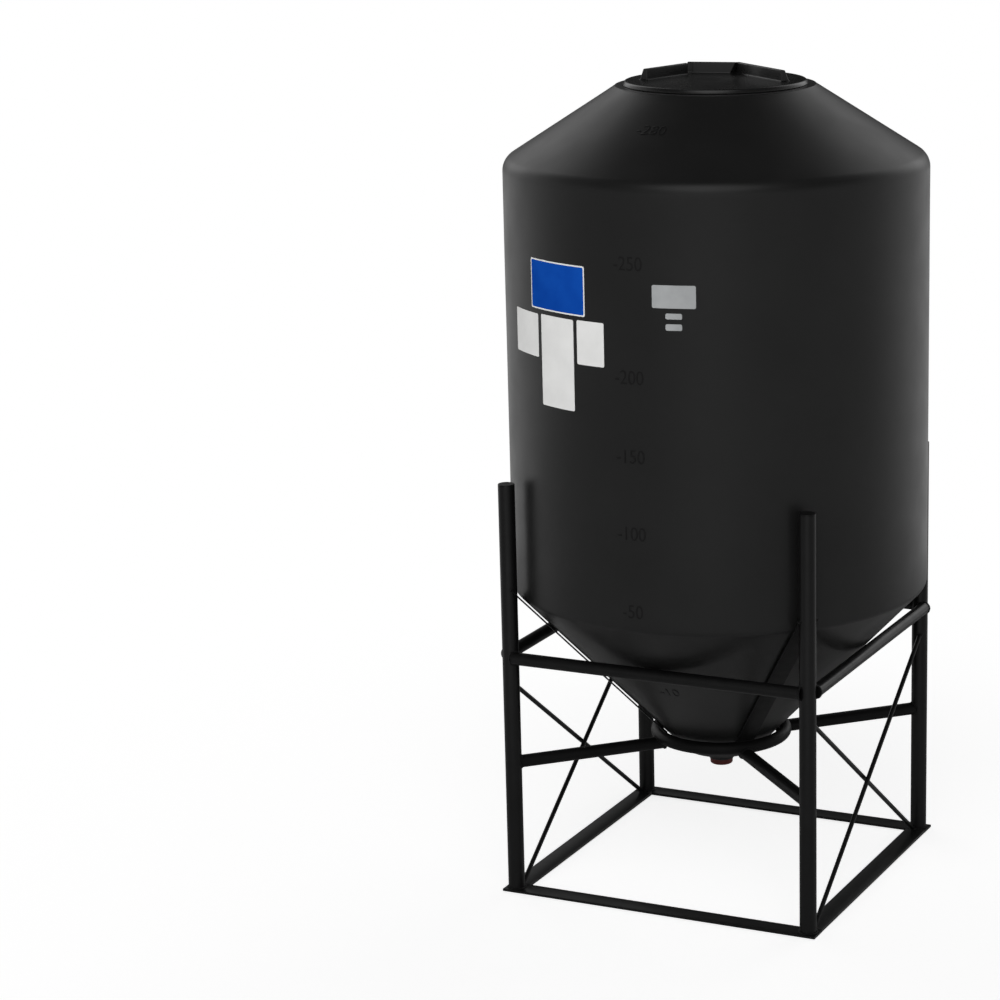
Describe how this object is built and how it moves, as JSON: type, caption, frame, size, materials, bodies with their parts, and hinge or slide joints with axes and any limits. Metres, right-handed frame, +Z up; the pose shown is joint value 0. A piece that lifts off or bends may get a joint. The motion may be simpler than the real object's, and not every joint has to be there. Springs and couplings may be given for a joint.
{
  "type": "vertical storage tank",
  "caption": "Vertical storage tank in black plastic with a cone bottom, a domed shoulder and a screw lid, carried in a welded black steel pipe stand on a flat-bar base frame",
  "frame": {"origin": "the point on the floor under the middle of the tank and stand", "axes": "+X to the right and +Y away from someone who stands in front of the level marks, +Z up along the tank's axis"},
  "size_m": [1.0668, 1.0668, 2.0765],
  "materials": {
    "black_plastic": "satin moulded black",
    "lid_plastic": "satin moulded black, a little smoother than the tank",
    "plug_plastic": "dull dark red",
    "black_steel": "black enamel over welded pipe and flat bar"
  },
  "bodies": {
    "tank_and_stand": {"tank_wall": "black_plastic", "tank_top": "black_plastic", "tank_cone": "black_plastic", "fill_neck": "black_plastic", "outlet_fitting": "black_plastic", "outlet_plug": "plug_plastic", "post_front_left": "black_steel", "post_front_right": "black_steel", "post_back_right": "black_steel", "post_back_left": "black_steel", "post_cap_front_left": "black_steel", "post_cap_front_right": "black_steel", "post_cap_back_right": "black_steel", "post_cap_back_left": "black_steel", "rail_front": "black_steel", "rail_back": "black_steel", "rail_left": "black_steel", "rail_right": "black_steel", "support_ring": "black_steel", "radial_front_left": "black_steel", "radial_front_right": "black_steel", "radial_back_right": "black_steel", "radial_back_left": "black_steel", "strap_front_left": "black_steel", "strap_front_right": "black_steel", "strap_back_right": "black_steel", "strap_back_left": "black_steel", "brace_left_a": "black_steel", "brace_left_b": "black_steel", "brace_right_a": "black_steel", "brace_right_b": "black_steel", "base_bar_front": "black_steel", "base_bar_back": "black_steel", "base_bar_left": "black_steel", "base_bar_right": "black_steel"},
    "lid": {"lid": "lid_plastic"}
  },
  "joints": [
    {"name": "lid_lift", "type": "slide", "parent": "tank_and_stand", "child": "lid", "axis": [0, 0, 1], "range_m": [0, 0.15]}
  ]
}
